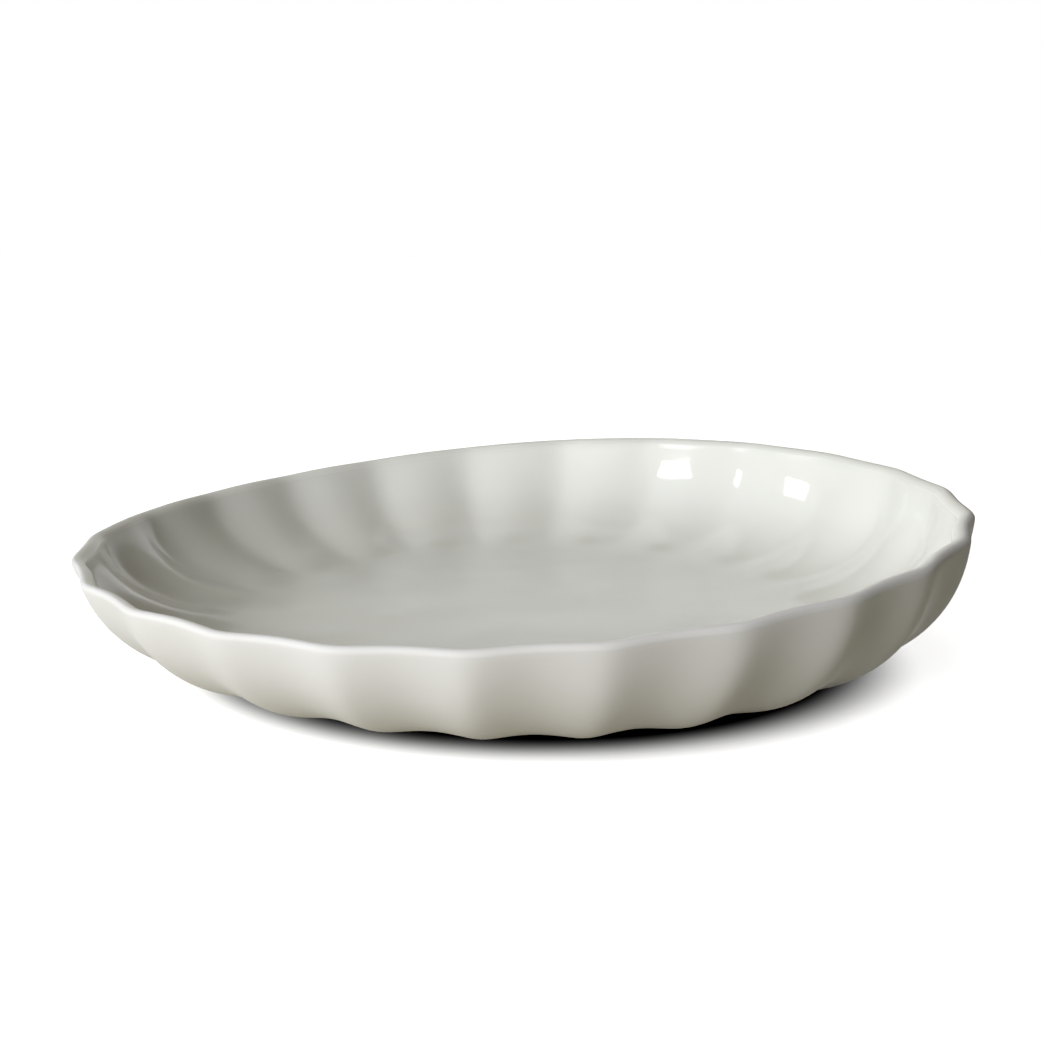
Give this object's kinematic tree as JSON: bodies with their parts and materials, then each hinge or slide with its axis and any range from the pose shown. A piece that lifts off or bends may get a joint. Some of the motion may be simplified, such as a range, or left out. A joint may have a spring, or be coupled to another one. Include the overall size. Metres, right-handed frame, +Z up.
{
  "type": "oyster plate",
  "caption": "Round fluted porcelain dish with a slanted scalloped lip, bare matte outside and glossy glaze inside, for serving oysters.",
  "frame": {"origin": "centre of the foot, on the table", "axes": "+Z up out of the dish, +X towards the higher side of the lip, +Y to the back as pictured"},
  "size_m": [0.238, 0.2382, 0.0391],
  "materials": {
    "bare_porcelain": "matte, unglazed and finely polished",
    "clear_glaze": "glossy transparent glaze over white porcelain"
  },
  "bodies": {
    "root": {"porcelain_body": "bare_porcelain", "inner_glaze": "clear_glaze"}
  },
  "joints": []
}
